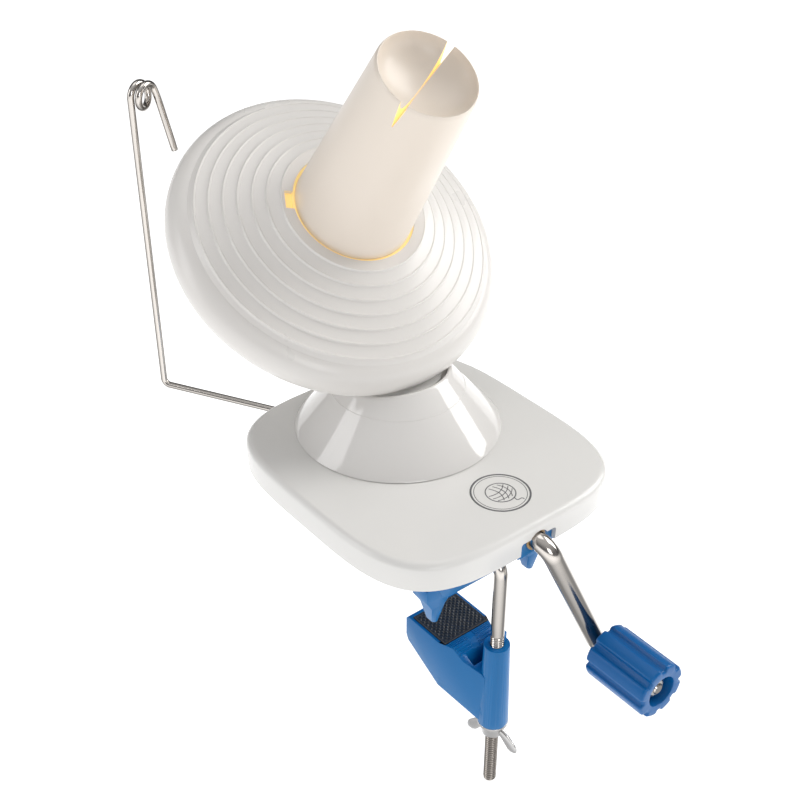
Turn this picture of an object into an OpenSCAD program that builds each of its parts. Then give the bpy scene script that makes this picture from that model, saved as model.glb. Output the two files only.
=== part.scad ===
// Hand-cranked ball winder. Millimetres.
// Z is up along the rotor's axle. Z = 0 is the table top that the two feet stand on.
// The crank leaves the base towards -Y, the table goes into the clamp from +Y.

/* [Base] */
// Half of the base's width
base_hx = 61.5; // [60:0.5:66]
// Offset of the base's middle to the left of the rotor's axle
base_xc = 3; // [0:0.5:3]
// Half of the base's depth
base_hy = 67.5; // [62:0.5:72]
// Offset of the base's middle from the rotor's axle
base_yc = -21; // [-26:0.5:-18]
// Squareness of the base's outline
base_pow = 3.9; // [3:0.1:6]
// Thickness of the base housing
base_t = 13; // [12.5:0.5:14]
// Height of the base's top above the table
base_top = 57; // [55:0.5:60]
// Wall of the moulded covers
wall = 2.2; // [1.8:0.1:2.6]

/* [Rotor] */
// Radius of the cone at the base
cone_r = 44.5; // [42:0.5:46]
// Height at which the cone's sides would meet
cone_apex = 52.5; // [50:0.5:56]
// Height of the cone's rim above the base top
rim_z = 24.2; // [23:0.2:26]
// Tilt of the cone's rim
rim_tilt = 10.5; // [8:0.5:13]
// Radius of the post that the rotor turns on
post_r = 4; // [3.5:0.25:4.5]

/* [Spindle] */
// Lean of the spindle from the vertical
lean = 34.2; // [33:0.1:35]
// Height above the base top where the spindle's axis crosses the rotor's
cross_z = 133; // [131:0.5:135]
// Radius of the winding tube at its foot
tube_r0 = 25; // [24:0.25:25.5]
// Radius of the winding tube at its mouth
tube_r1 = 20.1; // [19:0.1:21]
// Length of the tube above the crossing
tube_up = 31.5; // [28:0.5:34]
// Length of the tube below the crossing, down to the disc
tube_down = 50.4; // [49:0.2:52]
// Radius of the disc
disc_r = 72.3; // [70:0.1:74]
// Number of rings on the disc
ring_n = 7; // [5:1:8]
// Width of one ring
ring_w = 5.4; // [5:0.1:5.5]
// Drop of one ring
ring_h = 2.3; // [2:0.1:2.5]

/* [Crank] */
// Radius of the crank rod
rod_r = 4; // [3.5:0.1:4.2]
// Depth of the crank's axis below the base top
crank_z = 9; // [8.5:0.1:9.2]
// Distance of the crank's first corner in front of the rotor's axle
arm_y = 93.6; // [93.6:0.1:98]
// Length of the crank arm between its corners
arm_l = 64; // [54:0.5:66]
// Angle of the crank arm from straight down
arm_a = 23; // [0:1:45]
// Angle that each corner of the crank turns through
arm_bend = 82; // [76:1:86]
// Length of the handle
knob_l = 31; // [30:0.5:38]
// Radius of the handle
knob_r = 12.4; // [12:0.1:13]

/* [Clamp] */
// Distance of the clamp rod in front of the rotor's axle
clamp_y = 68.5; // [66:0.5:70]
// Radius of the clamp rod
clamp_r = 3; // [2.5:0.25:3]
// Opening between the feet and the grip pad
gap = 29; // [20:0.5:40]

/* [Yarn guide] */
// Radius of the guide wire
wire_r = 1.5; // [1.2:0.1:1.5]
// Reach of the guide from its pivot to its upright
guide_reach = 86.2; // [84:0.1:88]
// Height of the upright above the leg
guide_h = 138.3; // [130:0.1:145]

/* [Hidden] */
$fn = 64;
e = 0.01;
fit = 0.06;
lap = 0.3;
bend_in = 0.06;
base_bot = base_top - base_t;
axis_z = base_top - crank_z;
cross = base_top + cross_z;
gear_n = 40;
pinion_n = 20;
gear_r = 23;
pinion_r = 11.7;
sun_n = 10;
ring_teeth = 40;
sun_z = base_top + 47;
sun_r = 10;
hub_r = 9;
mesh_a = lean - atan(sun_r / (cross - sun_z));
leg_z = -gap;
thread_end = -107;
foot_x = 27;
foot_y = -57;
plate_z = base_bot;
well_z = 13;
guide_px = -13.7;
guide_py = 30.8;
guide_z = base_top - 11.3;
guide_a = 118.9;
web_z = base_top + 17.2;
screw_xy = [[-50, -66], [46, -66], [-48, 24], [45, 24]];
leg_in_z = 24;

// Places a child on the spindle's axis: its Z runs up the axis and its origin is where the axes cross
module on_spindle() {
    translate([0, 0, cross]) rotate([lean, 0, 0]) children();
}

// Places a child on the crank's axis: its Z runs out towards the user
module on_crank() {
    translate([0, 0, axis_z]) rotate([90, 0, 0]) children();
}

// A quarter-turn or less of round rod: it starts at the origin going up and curves towards -Y
module elbow(r, turn, rod) {
    translate([0, -r, 0]) rotate([90, 0, 90]) rotate_extrude(angle = turn, $fn = 64)
        translate([r, 0]) circle(r = rod - bend_in, $fn = 32);
}

// Straight stretch of round rod that runs a little way into the elbow at each end
module straight(length, rod) {
    translate([0, 0, -lap]) cylinder(r = rod, h = length + 2 * lap);
}

// Places a child at the far end of an elbow
module past_elbow(r, turn) {
    translate([0, r * (cos(turn) - 1), r * sin(turn)]) rotate([turn, 0, 0]) children();
}

function sgn(v) = v < 0 ? -1 : 1;
function outline(inset = 0, count = 96) = [for (i = [0:count - 1])
    let (c = cos(360 * i / count), s = sin(360 * i / count))
    [sgn(c) * (base_hx - inset) * pow(abs(c), 2 / base_pow) - base_xc,
     base_yc + sgn(s) * (base_hy - inset) * pow(abs(s), 2 / base_pow)]];

module slab(z, inset) {
    translate([0, 0, z]) linear_extrude(height = 0.02) polygon(outline(inset));
}

module rounded_block(inset, top, bottom, edge) {
    hull() {
        slab(bottom, inset + 0.5);
        slab(top - edge, inset);
        slab(top - edge * 0.29, inset + edge * 0.29);
        slab(top - 0.02, inset + edge);
    }
}

module tooth(root, tip, w_root, w_tip) {
    polygon([[root, -w_root / 2], [tip, -w_tip / 2], [tip, w_tip / 2], [root, w_root / 2]]);
}

module base_housing() color("whitesmoke") {
    difference() {
        rounded_block(0, base_top, base_bot, 3);
        translate([0, 0, -e]) rounded_block(wall, base_top - wall, base_bot - 1, 2);
        // hole for the rotor's hub and slot for the crank gear
        translate([0, 0, base_bot]) cylinder(r = 15, h = base_t + 1);
        translate([-25.5, -20.5, base_top - 5]) cube([51, 12, 8]);
        // notch for the crank bearing
        translate([-9.2, -92, base_bot - 1]) cube([18.4, 14, base_t - 5.5 + 1]);
        on_crank() translate([0, 0, 80]) cylinder(r = 5, h = 14);
        // slot that the guide wire swings in
        translate([guide_px, guide_py, base_bot - 1]) linear_extrude(height = 4.6)
            polygon(concat([[1, -4], [4, -1]], [for (a = [99:10:149]) [90 * cos(a), 90 * sin(a)]]));
    }
    // socket for the end of the guide wire
    difference() {
        translate([guide_px, guide_py, base_bot + 4.7]) cylinder(r = 4.5, h = base_t - 4.7 - wall + 0.3);
        translate([guide_px, guide_py, base_bot]) cylinder(r = wire_r + fit, h = base_t - wall);
    }
    for (p = screw_xy) difference() {
        translate([p[0], p[1], base_bot + 3]) cylinder(r = 4, h = base_t - 3 - wall + 0.5);
        translate([p[0], p[1], base_bot]) cylinder(r = 1.5, h = 10);
    }
}

module foot(side) {
    hull() {
        translate([side * foot_x - 7, foot_y - 4.5, well_z + 2]) cube([14, 9, 6]);
        translate([side * foot_x - 3.4, foot_y - 3.6, 9]) cube([6.8, 7.6, 1]);
    }
    hull() {
        translate([side * foot_x - 3.4, foot_y - 3.6, 9]) cube([6.8, 7.6, 1]);
        translate([side * foot_x, foot_y - 1, 0]) cylinder(r = 1.6, h = 1, $fn = 24);
        translate([side * foot_x, foot_y + 1.5, 0]) cylinder(r = 1.6, h = 1, $fn = 24);
    }
}

module undercarriage() color("royalblue") {
    difference() {
        union() {
            // plate under the base
            translate([0, 0, plate_z - 2.5]) linear_extrude(height = 2.5) polygon(outline(3.2));
            // well round the crank gear, with the tunnel for the clamp rod in front
            well(29, 62, 15, well_z, plate_z - 1);
            // block for the front bearing
            translate([-8.9, -86.6, plate_z - 2.5]) cube([17.8, 11.4, 2.5 + base_t - 5.8]);
            foot(-1);
            foot(1);
            // rear foot, under the post
            cylinder(r1 = 8, r2 = 9, h = well_z + 1);
        }
        // room for the crank gear
        well(26.5, 26, 12.5, well_z + 2.5, plate_z + 1);
        translate([-26.5, -25, plate_z - 4]) cube([53, 15, 6]);
        on_crank() translate([0, 0, 70]) cylinder(r = 4.9, h = 20);
        on_crank() translate([0, 0, 72.8]) cylinder(r = 6.1, h = 2.3);
        // clamp rod tunnel and the pocket for its nut
        translate([0, -70, leg_in_z]) rotate([-90, 0, 0]) cylinder(r = clamp_r + 0.05, h = 60);
        translate([-5.6, -47.5, leg_in_z - 5.6]) cube([11.2, 22, 40]);
        for (p = screw_xy) translate([p[0], p[1], plate_z - 4]) cylinder(r = 1.7, h = 6);
    }
    // web that carries the rear bearing
    difference() {
        translate([-12, -38, plate_z - 2]) cube([24, 6, axis_z - plate_z + 7.8]);
        on_crank() translate([0, 0, 20]) cylinder(r = 5.5, h = 30);
        translate([-5.6, -47.5, leg_in_z - 5.6]) cube([11.2, 22, 22]);
    }
    // boss that holds the post
    difference() {
        translate([0, 0, well_z + 1]) cylinder(r = 9, h = 20);
        translate([0, 0, well_z + 3]) cylinder(r = post_r, h = 30);
    }
}

// Box with sloping ends: half its width, how far it reaches to the front and to the back, and its height
module well(half, front, back, z0, z1) {
    translate([0, back, 0]) rotate([90, 0, 0]) linear_extrude(height = front + back)
        polygon([[-half - 12, z1], [-half, z0 + 8], [-half + 4, z0], [half - 4, z0], [half, z0 + 8],
            [half + 12, z1]]);
}

module base_screws() color("silver") {
    for (p = screw_xy) translate([p[0], p[1], plate_z - 2.5]) {
        cylinder(r = 1.48, h = 10);
        difference() {
            translate([0, 0, -1.8]) cylinder(r1 = 2.4, r2 = 3, h = 1.8);
            for (a = [0, 90]) rotate(a) translate([-1.8, -0.35, -2.4]) cube([3.6, 0.7, 1.5]);
        }
    }
}

module center_post() color("silver") {
    translate([0, 0, well_z + 3]) cylinder(r = post_r, h = sun_z - 4 - well_z - 3);
    translate([0, 0, sun_z - 4]) cylinder(r = post_r - 0.8, h = 3.6);
}

module sun_gear() color("white") difference() {
    translate([0, 0, sun_z - 3.5]) linear_extrude(height = 3.1) {
        circle(r = sun_r - 1.6);
        for (i = [0:sun_n - 1]) rotate(90 + i * 360 / sun_n) tooth(sun_r - 2, sun_r + 0.5, 2.4, 1.2);
    }
    translate([0, 0, sun_z - 5]) cylinder(r = post_r - 0.8, h = 10);
}

module sun_screw() color("silver") {
    translate([0, 0, sun_z - 0.4]) cylinder(r = 4.6, h = 1);
    translate([0, 0, sun_z + 0.6]) cylinder(r1 = 3.4, r2 = 2.6, h = 1.8);
}

module cone_shell(r, apex) {
    cylinder(r1 = r, r2 = r * (1 - 34 / apex), h = 34);
}

module rotor_cone() color("whitesmoke") difference() {
    union() {
        difference() {
            translate([0, 0, base_top + 0.6]) cone_shell(cone_r, cone_apex);
            translate([0, 0, base_top]) cone_shell(cone_r - wall * 1.25, cone_apex);
            translate([0, 0, base_top - 5]) cylinder(r = cone_r - wall * 1.9, h = 6);
        }
        // web that joins the cone to its hub
        translate([0, 0, web_z]) cylinder(r = 29, h = 2.4);
    }
    translate([0, 0, base_top + rim_z]) rotate([-rim_tilt, 0, 0]) translate([-60, -60, 0])
        cube([120, 120, 50]);
    translate([0, 0, base_top + 10]) cylinder(r = 7, h = 30);
    for (a = [90:120:330]) rotate(a) translate([12, 0, base_top + 10]) cylinder(r = 1.6, h = 12);
}

module rotor_neck() color("white") difference() {
    union() {
        // collar inside the cone's rim
        intersection() {
            translate([0, 0, base_top + rim_z]) rotate([-rim_tilt, 0, 0]) translate([0, 0, -12])
                cylinder(r = 18.2, h = 10.7);
            translate([0, 0, web_z + 2.4]) cylinder(r = 40, h = 40);
        }
        // arm that leans back to the spindle
        translate([0, 0, base_top + 20.5]) cylinder(r1 = 14, r2 = hub_r, h = 6);
        translate([0, 0, base_top + 20.5]) cylinder(r = hub_r, h = 19);
        hull() {
            translate([0, 0, base_top + 22]) cylinder(r = hub_r - 0.2, h = 7, $fn = 32);
            on_spindle() translate([0, 0, -98]) cylinder(r1 = 10, r2 = 12, h = 16, $fn = 32);
        }
    }
    translate([0, 0, base_top + 15]) cylinder(r = 7, h = 10.2);
    translate([0, 0, base_top]) cylinder(r = 5.5, h = 60);
    on_spindle() translate([0, 0, -101]) cylinder(r = post_r, h = 40);
    on_spindle() translate([0, 0, -99]) cylinder(r = 7.5, h = 5);
    for (a = [90:120:330]) rotate(a) translate([12, 0, base_top + 15]) cylinder(r = 1.2, h = 8);
}

module rotor_pinion() color("silver") difference() {
    union() {
        translate([0, 0, base_top - 12]) cylinder(r = 8, h = 21.5);
        translate([0, 0, base_top + 9.5]) cylinder(r = 10.4, h = 7.7);
        translate([0, 0, web_z]) cylinder(r = 7, h = 8);
        translate([0, 0, axis_z + gear_r - 2]) linear_extrude(height = 4.2)
            for (i = [0:pinion_n - 1]) rotate(i * 360 / pinion_n + 99)
                tooth(10.2, pinion_r + 0.9, 1.5, 0.9);
    }
    translate([0, 0, base_top - 20]) cylinder(r = 5.5, h = 60);
}

module rotor_bush() color("peru") difference() {
    union() {
        translate([0, 0, base_top - 12]) cylinder(r = 5.5, h = 51.5);
        translate([0, 0, base_top - 13]) cylinder(r = 7, h = 1);
    }
    translate([0, 0, base_top - 15]) cylinder(r = post_r + fit, h = 70);
}

module rotor_screws() color("silver") for (a = [90:120:330]) rotate(a) translate([12, 0, web_z]) {
    translate([0, 0, -1]) cylinder(r = 1.5, h = 1);
    cylinder(r = 1.2, h = 5.5);
}

module spindle_axle() color("silver") on_spindle() {
    translate([0, 0, -97]) cylinder(r = post_r, h = 97 - 22);
    translate([0, 0, -22]) cylinder(r1 = post_r, r2 = post_r - 1, h = 1);
}

module axle_nut() color("silver") on_spindle() difference() {
    translate([0, 0, -98.5]) cylinder(r = 6.6, h = 4.5, $fn = 6);
    translate([0, 0, -102]) cylinder(r = post_r, h = 20);
}

// Half profile of the disc, outside then inside: a stepped dome with a rolled edge
ring_r0 = 31.2;
ring_s0 = tube_down;
edge_a = disc_r - (ring_r0 + (ring_n - 1) * ring_w);
edge_s = ring_s0 + ring_n * ring_h;
edge_b = 10;
step = 0.9;
function rings() = [for (k = [0:ring_n - 1]) each [
    [ring_r0 + k * ring_w, -(ring_s0 + k * ring_h)],
    [ring_r0 + k * ring_w + 0.3, -(ring_s0 + k * ring_h + step)]]];
function rim_arc(a, b, from, to, count) = [for (i = [0:count])
    let (t = from + (to - from) * i / count)
    [disc_r - edge_a + a * sin(t), -(edge_s + edge_b - b * cos(t))]];

module winding_disc() color("whitesmoke") on_spindle() {
    rotate_extrude($fn = 96) polygon(concat(
        [[26.2, -ring_s0]], rings(), rim_arc(edge_a, edge_b, 12, 118, 12),
        rim_arc(edge_a - wall, edge_b - wall, 118, 8, 12),
        [[ring_r0 + (ring_n - 1) * ring_w, -(ring_s0 + (ring_n - 1) * ring_h + step + wall)],
         [ring_r0, -(ring_s0 + step + wall)], [26.2 + wall, -(ring_s0 + step + wall - 0.5)],
         [26.2 + wall, -59.2],
         [hub_r, -59.2], [hub_r, -57], [26.2, -57]]));
    for (a = [0:45:359]) rotate(a + 11) translate([26.2 + wall - 0.3, -0.8, -59.2]) cube([9, 1.6, 4.9]);
}

module disc_gear() color("gainsboro") on_spindle() difference() {
    union() {
        rotate_extrude($fn = 96) polygon([[6, -79], [12, -79], [14, -77], [34, -77], [36, -79],
            [79 * tan(mesh_a) - 2, -79], [75 * tan(mesh_a) - 2, -75], [36, -75], [34, -75], [14, -75],
            [12, -73], [hub_r + 3, -59.2], [hub_r, -59.2], [hub_r, -30], [6, -30]]);
        intersection() {
            rotate_extrude($fn = 96) polygon([[33, -79], [79 * tan(mesh_a) + 0.4, -79],
                [75 * tan(mesh_a) + 0.4, -75], [33, -75]]);
            for (i = [0:ring_teeth - 1]) rotate(-90 + (i + 0.5) * 360 / ring_teeth)
                translate([34, 0, -80]) linear_extrude(height = 6) tooth(0, 9, 2.6, 1.4);
        }
    }
    translate([0, 0, -85]) cylinder(r = 5.5, h = 70);
}

module spindle_bush() color("peru") on_spindle() difference() {
    union() {
        translate([0, 0, -80]) cylinder(r = 5.5, h = 50);
        translate([0, 0, -81]) cylinder(r = 7.5, h = 1);
        translate([0, 0, -81]) cylinder(r = 5.5, h = 2);
    }
    translate([0, 0, -85]) cylinder(r = post_r + fit, h = 70);
}

module spindle_clip() color("dimgray") on_spindle() difference() {
    translate([0, 0, -29.6]) cylinder(r = 7.5, h = 1.2);
    translate([0, 0, -31]) cylinder(r = post_r, h = 4);
    translate([-1.6, 0, -31]) cube([3.2, 9, 4]);
}

module winding_tube() color("ivory") on_spindle() difference() {
    union() {
        rotate_extrude($fn = 96) {
            polygon(concat(
                [[tube_r0 + 0.2, -56.6], [tube_r0, -tube_down], [tube_r1, tube_up - 0.8],
                 [tube_r1 - 0.6, tube_up]],
                [for (t = [0:9:81]) [(tube_r1 - 1.6) * cos(t), tube_up - 11 * sin(t)]],
                [[0, tube_up - 11 * sin(81)], [0, tube_up - 13.4], [3, tube_up - 13.4],
                 [9, tube_up - 12.2], [tube_r1 - 2.2, tube_up - 6],
                 [tube_r0 - 2.4, -tube_down], [tube_r0 - 2.4, -56.6]]));
            polygon([[9.15, -56.6], [11.2, -56.6], [11.2, -14], [0, -14], [0, -16], [9.15, -16]]);
        }
        for (a = [0:60:300]) rotate(a) translate([11, -0.8, -50]) cube([12.1, 1.6, 22]);
        // bayonet lugs
        for (a = [-25, 155]) rotate(a) translate([tube_r0 - 2, -2.8, -56.4]) cube([2.9, 5.6, 1.8]);
    }
    // yarn slot across the mouth
    rotate(29) translate([0, 0, tube_up]) rotate([0, 90, 0]) rotate(-90)
        translate([0, 0, -30]) linear_extrude(height = 60)
            polygon([[-1.5, 1], [-1.2, -2], [0, -12], [1.2, -2], [1.5, 1]]);
}

bend_a = 7.5;
bend_b = 5;
off_a = bend_a * tan(arm_bend / 2);
off_b = bend_b * tan(arm_bend / 2);
pin_r = 2.5;

// Bent crank: shaft, arm and handle pin from one rod
module crank_rod() color("silver") on_crank() {
    translate([0, 0, 12.5]) cylinder(r = rod_r, h = arm_y - off_a - 12.5 + lap);
    rotate(arm_a) translate([0, 0, arm_y - off_a]) {
        elbow(bend_a, arm_bend, rod_r);
        past_elbow(bend_a, arm_bend) {
            straight(arm_l - off_a - off_b, rod_r);
            translate([0, 0, arm_l - off_a - off_b]) {
                mirror([0, 1, 0]) elbow(bend_b, arm_bend, rod_r);
                mirror([0, 1, 0]) past_elbow(bend_b, arm_bend)
                    translate([0, 0, -1]) cylinder(r = pin_r, h = knob_l);
            }
        }
    }
}

module at_handle() {
    on_crank() rotate(arm_a) translate([0, 0, arm_y - off_a]) past_elbow(bend_a, arm_bend)
        translate([0, 0, arm_l - off_a - off_b]) mirror([0, 1, 0]) past_elbow(bend_b, arm_bend)
            translate([0, 0, 0.6]) children();
}

module crank_gear() color("gainsboro") on_crank() difference() {
    union() {
        translate([0, 0, 15]) cylinder(r = gear_r + 2, h = 3.5);
        translate([0, 0, 15]) cylinder(r = 6.4, h = 9.5);
        for (i = [0:gear_n - 1]) rotate(90 + i * 360 / gear_n)
            translate([gear_r - 2, 0, 15.2]) rotate([90, 0, 90])
                linear_extrude(height = 4) polygon([[-0.65, 0], [0.65, 0], [0.45, -3.5], [-0.45, -3.5]]);
    }
    translate([0, 0, 5]) cylinder(r = rod_r, h = 30);
}

module crank_bush() color("tan") on_crank() difference() {
    union() {
        translate([0, 0, 74]) cylinder(r = 4.9, h = 13);
        translate([0, 0, 73]) cylinder(r = 6, h = 2);
    }
    translate([0, 0, 70]) cylinder(r = rod_r + fit, h = 30);
}

module crank_rear_bush() color("tan") on_crank() difference() {
    union() {
        translate([0, 0, 31]) cylinder(r = 5.5, h = 7);
        translate([0, 0, 30.5]) cylinder(r = 5.9, h = 1.5);
    }
    translate([0, 0, 20]) cylinder(r = rod_r + fit, h = 30);
}

module crank_clip() color("dimgray") on_crank() difference() {
    translate([0, 0, 38.4]) cylinder(r = 5.8, h = 1.2);
    translate([0, 0, 30]) cylinder(r = rod_r, h = 20);
    translate([-1.6, 0, 30]) cube([3.2, 9, 20]);
}

module handle_knob() color("dodgerblue") at_handle() difference() {
    union() {
        cylinder(r = knob_r - 1.7, h = knob_l);
        for (i = [0:7]) rotate(i * 45) intersection() {
            cylinder(r = knob_r, h = knob_l);
            translate([knob_r - 4, -3.1, 0]) cube([4, 6.2, knob_l]);
        }
    }
    translate([0, 0, -1]) cylinder(r = pin_r + fit, h = knob_l + 2);
    translate([0, 0, knob_l - 5]) cylinder(r = 7, h = 6);
}

module knob_clip() color("silver") at_handle() difference() {
    union() {
        translate([0, 0, knob_l - 4.7]) cylinder(r = 5.6, h = 0.8);
        translate([0, 0, knob_l - 4.7]) cylinder(r1 = 4.4, r2 = 3.6, h = 2.4);
    }
    translate([0, 0, knob_l - 8]) cylinder(r = pin_r, h = 12);
}

coil_r = 5;
coil_pitch = 3.8;
coil_turn = atan(coil_pitch / 4 / coil_r);
coil_arc = coil_r / cos(coil_turn);

// Half a turn of the eye, over the top or under, that starts where the number of half turns before it ends
module half_turn(before, sweep, under) {
    translate([-coil_pitch * (before + 0.5) / 2, -coil_r, 0])
        rotate(under ? -90 + coil_turn : -90 - coil_turn)
        rotate([90, 0, 0])
        rotate(under ? 180 + 3 : 3) rotate_extrude(angle = sweep, $fn = 64)
            translate([coil_arc, 0]) circle(r = wire_r - bend_in, $fn = 32);
}

// Places a child at the yarn guide's pivot: its X runs out along the leg
module at_guide() {
    translate([guide_px, guide_py, guide_z]) rotate(guide_a) children();
}

// The guide is one wire in three stretches: the leg with its socket end, the upright and the eye
module guide_leg() color("silver") at_guide() {
    translate([0, 0, 3]) cylinder(r = wire_r, h = 5.5, $fn = 32);
    translate([3, 0, 0]) rotate([0, -90, 0]) rotate([0, 0, 90]) elbow(3, 90, wire_r);
    translate([3, 0, 0]) rotate([0, 90, 0]) cylinder(r = wire_r, h = guide_reach - 6, $fn = 32);
    translate([guide_reach - 3, 0, 0]) rotate([0, 90, 0]) rotate([0, 0, -90]) elbow(3, 90, wire_r);
}

module guide_wire() color("silver") at_guide() {
    translate([guide_reach, 0, 3]) cylinder(r = wire_r, h = guide_h - 8, $fn = 32);
}

module guide_eye() color("silver") at_guide() translate([guide_reach, 0, guide_h]) {
    translate([0, 0, -5]) cylinder(r = wire_r, h = 5 + lap, $fn = 32);
    half_turn(0, 177, false);
    half_turn(1, 174, true);
    half_turn(2, 174, false);
    translate([-coil_pitch / 2, -2 * coil_r, 0]) sphere(r = wire_r, $fn = 48);
    translate([-coil_pitch, 0, 0]) sphere(r = wire_r, $fn = 48);
    translate([-coil_pitch * 1.5, -2 * coil_r, 0]) {
        sphere(r = wire_r, $fn = 48);
        rotate([0, 180 + 15, 0]) translate([0, 0, 0.25]) cylinder(r = wire_r - bend_in, h = 25.2, $fn = 32);
    }
}

rod_bend = 8;

// Clamp rod: its bent head sits in the undercarriage's tunnel
module clamp_rod() color("silver") {
    translate([0, -clamp_y, thread_end]) {
        cylinder(r1 = clamp_r - 0.6, r2 = clamp_r, h = 0.8);
        translate([0, 0, 0.8]) cylinder(r = clamp_r, h = leg_in_z - rod_bend - thread_end - 0.8);
    }
    translate([0, -clamp_y, leg_in_z - rod_bend]) mirror([0, 1, 0]) elbow(rod_bend, 90, clamp_r);
    translate([0, -clamp_y + rod_bend, leg_in_z]) rotate([-90, 0, 0]) cylinder(r = clamp_r, h = 26);
}

module rod_nut() color("silver") translate([0, -47.2, leg_in_z]) rotate([-90, 0, 0]) difference() {
    rotate(30) cylinder(r = 5.2, h = 5, $fn = 6);
    translate([0, 0, -1]) cylinder(r = clamp_r, h = 8);
}

jaw_top = leg_z - 2;
jaw_x = 14;
jaw_y0 = -54;
jaw_y1 = -24;
boss_r = 6.4;
boss_top = leg_z + 7;
jaw_bot = boss_top - 46;

module lower_jaw() color("dodgerblue") difference() {
    union() {
        // wedge under the pad: its side view, as wide as the pad's tray
        difference() {
            translate([-jaw_x, 0, 0]) rotate([90, 0, 90]) linear_extrude(height = 2 * jaw_x)
                polygon([[jaw_y1 - 0.8, jaw_top + 1], [jaw_y1 + 0.4, jaw_top - 0.4],
                         [jaw_y1 + 0.4, jaw_top - 10],
                    [jaw_y1 - 1, jaw_top - 13], [-clamp_y, jaw_bot], [-clamp_y, jaw_top - 8],
                    [-clamp_y + 11, jaw_top - 4], [jaw_y0 + 1, jaw_top + 1]]);
            // the sides draw in to the boss
            for (s = [-1, 1]) scale([s, 1, 1]) translate([0, 0, jaw_bot - 5]) linear_extrude(height = 60)
                polygon([[boss_r, -clamp_y - 12], [boss_r, -clamp_y + 2], [jaw_x + 0.1, jaw_y0 + 8],
                    [jaw_x + 6, jaw_y0 + 8], [jaw_x + 6, -clamp_y - 12]]);
        }
        translate([0, -clamp_y, jaw_bot])
            cylinder(r1 = boss_r + 0.5, r2 = boss_r - 0.7, h = boss_top - jaw_bot);
        // small stop standing at the side
        translate([9, jaw_y0 - 8, jaw_top - 12]) cube([3, 6, 16]);
    }
    // tray for the pad
    translate([-12.7, -49.2, jaw_top - 0.6]) cube([25.4, 22.4, 3]);
    // pocket beside the boss
    translate([-6.5, -clamp_y + boss_r + 0.5, jaw_top - 20]) cube([13, 5.5, 30]);
    // hollow underneath
    translate([-jaw_x + 2.6, 0, 0]) rotate([90, 0, 90]) linear_extrude(height = 2 * jaw_x - 5.2)
        polygon([[jaw_y1 - 2.4, jaw_top - 4], [jaw_y1 - 2.4, jaw_top - 22], [jaw_y0 + 3, jaw_top - 40],
            [jaw_y0 + 3, jaw_top - 6]]);
    translate([0, -clamp_y, jaw_bot - 1]) cylinder(r = clamp_r + 0.1, h = 60);
}

module grip_pad() color("black") difference() {
    translate([-12.6, -49.1, jaw_top - 0.6]) cube([25.2, 22.2, 2.6]);
    for (i = [1:7]) translate([-12.6 + i * 25.2 / 8 - 0.4, -50, jaw_top + 1.4]) cube([0.8, 24, 1]);
    for (i = [1:6]) translate([-14, -49.1 + i * 22.2 / 7 - 0.4, jaw_top + 1.4]) cube([28, 0.8, 1]);
}

module clamp_washer() color("silver") translate([0, -clamp_y, jaw_bot - 1.3]) difference() {
    cylinder(r = 7, h = 1.3);
    translate([0, 0, -1]) cylinder(r = clamp_r + 0.1, h = 4);
}

nut_z = jaw_bot - 1.35;

module wing_nut() color("silver") translate([0, -clamp_y, nut_z]) rotate(102) difference() {
    union() {
        translate([0, 0, -6.5]) cylinder(r1 = 5, r2 = 6.2, h = 6.5);
        for (s = [0, 180]) rotate(s) hull() {
            translate([4.5, 0, -3.5]) rotate([90, 0, 0]) cylinder(r = 2.2, h = 2.4, center = true, $fn = 24);
            translate([11, 0, -9.5]) rotate([90, 0, 0]) cylinder(r = 3.2, h = 2, center = true, $fn = 24);
        }
    }
    translate([0, 0, -20]) cylinder(r = clamp_r + 0.05, h = 30);
}

base_housing();
undercarriage();
base_screws();
center_post();
sun_gear();
sun_screw();
rotor_cone();
rotor_neck();
rotor_pinion();
rotor_bush();
rotor_screws();
spindle_axle();
axle_nut();
winding_disc();
disc_gear();
spindle_bush();
spindle_clip();
winding_tube();
crank_rod();
crank_gear();
crank_bush();
crank_rear_bush();
crank_clip();
handle_knob();
knob_clip();
guide_leg();
guide_wire();
guide_eye();
clamp_rod();
rod_nut();
lower_jaw();
grip_pad();
clamp_washer();
wing_nut();
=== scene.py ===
import math

import bmesh
import bpy
from mathutils import Matrix, Vector


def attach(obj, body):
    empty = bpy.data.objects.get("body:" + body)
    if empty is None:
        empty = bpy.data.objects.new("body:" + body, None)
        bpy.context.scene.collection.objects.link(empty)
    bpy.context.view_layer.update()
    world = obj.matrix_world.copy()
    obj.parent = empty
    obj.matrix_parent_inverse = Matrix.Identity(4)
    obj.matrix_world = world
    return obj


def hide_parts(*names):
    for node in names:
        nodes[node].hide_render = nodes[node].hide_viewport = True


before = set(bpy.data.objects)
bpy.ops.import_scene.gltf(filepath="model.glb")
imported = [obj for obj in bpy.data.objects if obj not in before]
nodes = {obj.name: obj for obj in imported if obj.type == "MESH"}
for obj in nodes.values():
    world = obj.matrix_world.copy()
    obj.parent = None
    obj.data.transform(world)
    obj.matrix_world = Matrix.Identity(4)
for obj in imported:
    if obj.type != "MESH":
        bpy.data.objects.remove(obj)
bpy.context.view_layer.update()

# ---------------------------------------------------------------- sizes, in millimetres
MM = 0.001
BASE_TOP, BASE_BOTTOM = 57.0, 44.0
BASE_HALF_X, BASE_HALF_Y, BASE_MID_X, BASE_MID_Y, BASE_SQUARENESS = 61.5, 67.5, -3.0, -21.0, 3.9
WALL = 2.2
HUB_HOLE_R, SHAFT_HOLE_R = 15.0, 5.0
BADGE_X, BADGE_Y, BADGE_TURN = 0.9, -64.7, -38.0
CONE_R, CONE_APEX, CONE_FOOT = 44.5, 52.5, 57.6
RIM_HEIGHT, RIM_TILT = 81.2, 10.5
LEAN, CROSSING = 34.2, 190.0
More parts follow.
